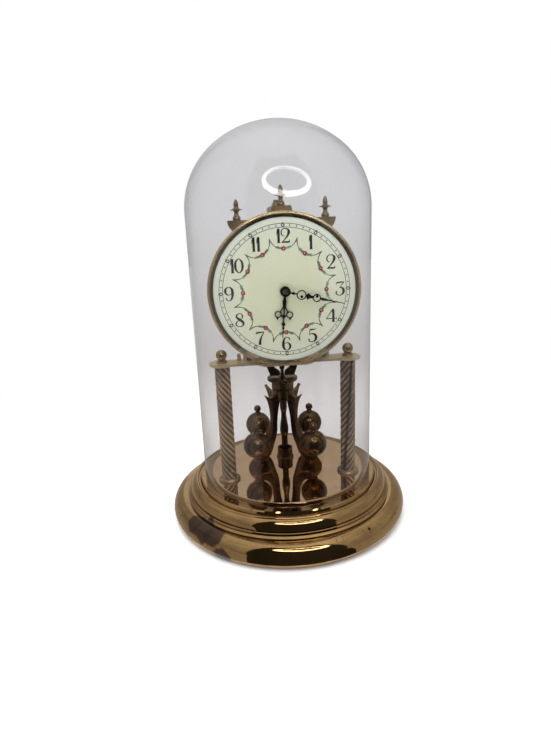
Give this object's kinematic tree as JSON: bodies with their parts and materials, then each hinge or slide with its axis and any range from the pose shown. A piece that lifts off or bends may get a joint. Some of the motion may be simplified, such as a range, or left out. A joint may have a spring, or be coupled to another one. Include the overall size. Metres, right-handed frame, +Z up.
{
  "type": "mantel clock",
  "caption": "Torsion-pendulum mantel clock: a dialled, spring-wound movement on twisted columns over a rotating ball pendulum, on a spun brass base under a lift-off glass dome.",
  "frame": {"origin": "centre of the base's underside", "axes": "+Z up, the dial faces -Y, +X to the right as seen from the front"},
  "size_m": [0.1477, 0.1478, 0.2322],
  "materials": {
    "base_brass": "polished lacquered brass, aged",
    "floor_brass": "mirror polished",
    "dark_brass": "tarnished brass",
    "column_brass": "tarnished rolled brass",
    "frame_brass": "lacquered brass",
    "bezel_brass": "polished brass",
    "wheel_brass": "cut brass",
    "steel": "bright steel",
    "spring_steel": "blued spring steel",
    "dial_enamel": "satin cream enamel",
    "hand_black": "gloss black",
    "glass": "clear blown glass"
  },
  "bodies": {
    "frame": {"base_shell": "base_brass", "base_stiffener": "steel", "floor_disc": "floor_brass", "guide_cup": "dark_brass", "base_nuts": "steel", "column_left": "column_brass", "column_right": "column_brass", "column_collars": "column_brass", "tie_rods": "steel", "platform": "frame_brass", "ball_nuts": "frame_brass", "suspension_guard": "dark_brass", "front_plate": "frame_brass", "back_plate": "frame_brass", "plate_pillars": "frame_brass", "frame_screws": "steel", "finial_brackets": "frame_brass", "finials": "frame_brass", "top_bridge": "frame_brass", "suspension_saddle": "frame_brass", "suspension_top_block": "frame_brass", "suspension_spring": "spring_steel", "dial": "dial_enamel", "bezel": "bezel_brass", "click_spring": "spring_steel", "anchor_cock": "frame_brass"},
    "dome": {"glass_dome": "glass"},
    "fork": {"suspension_fork": "frame_brass"},
    "pendulum": {"suspension_bottom_block": "dark_brass", "pendulum_hook": "dark_brass", "pendulum_disc": "dark_brass", "pendulum_hub": "dark_brass", "pendulum_arms": "dark_brass", "pendulum_rod": "dark_brass", "pendulum_balls": "dark_brass", "ball_finials": "dark_brass"},
    "barrel": {"mainspring_barrel": "wheel_brass", "barrel_cap": "wheel_brass", "mainspring": "spring_steel"},
    "winding": {"winding_arbor": "steel", "ratchet_wheel": "steel"},
    "click": {"click": "steel"},
    "second": {"second_arbor": "steel", "second_wheel": "wheel_brass"},
    "third": {"third_arbor": "steel", "third_wheel": "wheel_brass"},
    "centre": {"centre_arbor": "steel", "centre_wheel": "wheel_brass", "hand_nut": "wheel_brass"},
    "fourth": {"fourth_arbor": "steel", "fourth_wheel": "wheel_brass"},
    "escape": {"escape_arbor": "steel", "escape_wheel": "wheel_brass"},
    "anchor": {"anchor": "wheel_brass", "anchor_arbor": "steel"},
    "minute_hand": {"cannon_pinion": "steel", "minute_hand": "hand_black"},
    "minute_wheel": {"minute_wheel": "wheel_brass"},
    "hour_hand": {"hour_wheel": "wheel_brass", "hour_hand": "hand_black"}
  },
  "joints": [
    {"name": "dome_lift", "type": "slide", "parent": "frame", "child": "dome", "axis": [0, 0, 1], "range_m": [0, 0.2]},
    {"name": "pendulum_turn", "type": "hinge", "parent": "frame", "child": "pendulum", "pos_m": [0, 0.0118, 0.0837], "axis": [0, 0, 1], "range_deg": [-165, 165], "stiffness_Nm_per_rad": 0.000043},
    {"name": "fork_turn", "type": "hinge", "parent": "frame", "child": "fork", "pos_m": [0, 0.0118, 0.17811], "axis": [0, 0, 1], "range_deg": [-3.5, 3.5]},
    {"name": "anchor_rock", "type": "hinge", "parent": "frame", "child": "anchor", "pos_m": [0, 0, 0.16801], "axis": [0, 1, 0], "range_deg": [-2.5, 2.5]},
    {"name": "centre_turn", "type": "hinge", "parent": "frame", "child": "centre", "pos_m": [0, 0, 0.1424], "axis": [0, 1, 0], "continuous": true},
    {"name": "third_turn", "type": "hinge", "parent": "frame", "child": "third", "pos_m": [0.00939, 0, 0.1404], "axis": [0, 1, 0], "continuous": true},
    {"name": "second_turn", "type": "hinge", "parent": "frame", "child": "second", "pos_m": [0.01134, 0, 0.13039], "axis": [0, 1, 0], "continuous": true},
    {"name": "barrel_turn", "type": "hinge", "parent": "frame", "child": "barrel", "pos_m": [-0.00598, 0, 0.12039], "axis": [0, 1, 0], "continuous": true},
    {"name": "fourth_turn", "type": "hinge", "parent": "frame", "child": "fourth", "pos_m": [0.00303, 0, 0.15151], "axis": [0, 1, 0], "continuous": true},
    {"name": "escape_turn", "type": "hinge", "parent": "frame", "child": "escape", "pos_m": [0, 0, 0.15891], "axis": [0, 1, 0], "continuous": true},
    {"name": "minute_hand_turn", "type": "hinge", "parent": "frame", "child": "minute_hand", "pos_m": [0, 0, 0.1424], "axis": [0, 1, 0], "continuous": true},
    {"name": "minute_wheel_turn", "type": "hinge", "parent": "frame", "child": "minute_wheel", "pos_m": [0.00819, 0, 0.13666], "axis": [0, 1, 0], "continuous": true},
    {"name": "hour_hand_turn", "type": "hinge", "parent": "frame", "child": "hour_hand", "pos_m": [0, 0, 0.1424], "axis": [0, 1, 0], "continuous": true},
    {"name": "winding_turn", "type": "hinge", "parent": "frame", "child": "winding", "pos_m": [-0.00598, 0, 0.12039], "axis": [0, 1, 0], "continuous": true},
    {"name": "click_lift", "type": "hinge", "parent": "frame", "child": "click", "pos_m": [-0.01688, 0, 0.11642], "axis": [0, -1, 0], "range_deg": [0, 8], "stiffness_Nm_per_rad": 0.002, "springref_deg": -2.86}
  ],
  "couplings": [
    {"joint": "fork_turn", "follows": "pendulum_turn", "ratio": 0.02},
    {"joint": "anchor_rock", "follows": "pendulum_turn", "ratio": 0.013269},
    {"joint": "third_turn", "follows": "centre_turn", "ratio": -0.14286},
    {"joint": "second_turn", "follows": "centre_turn", "ratio": 0.019048},
    {"joint": "barrel_turn", "follows": "centre_turn", "ratio": -0.0021164},
    {"joint": "fourth_turn", "follows": "centre_turn", "ratio": -5},
    {"joint": "escape_turn", "follows": "centre_turn", "ratio": 20},
    {"joint": "minute_hand_turn", "follows": "centre_turn", "ratio": 1},
    {"joint": "minute_wheel_turn", "follows": "centre_turn", "ratio": -0.33333},
    {"joint": "hour_hand_turn", "follows": "centre_turn", "ratio": 0.083333}
  ]
}
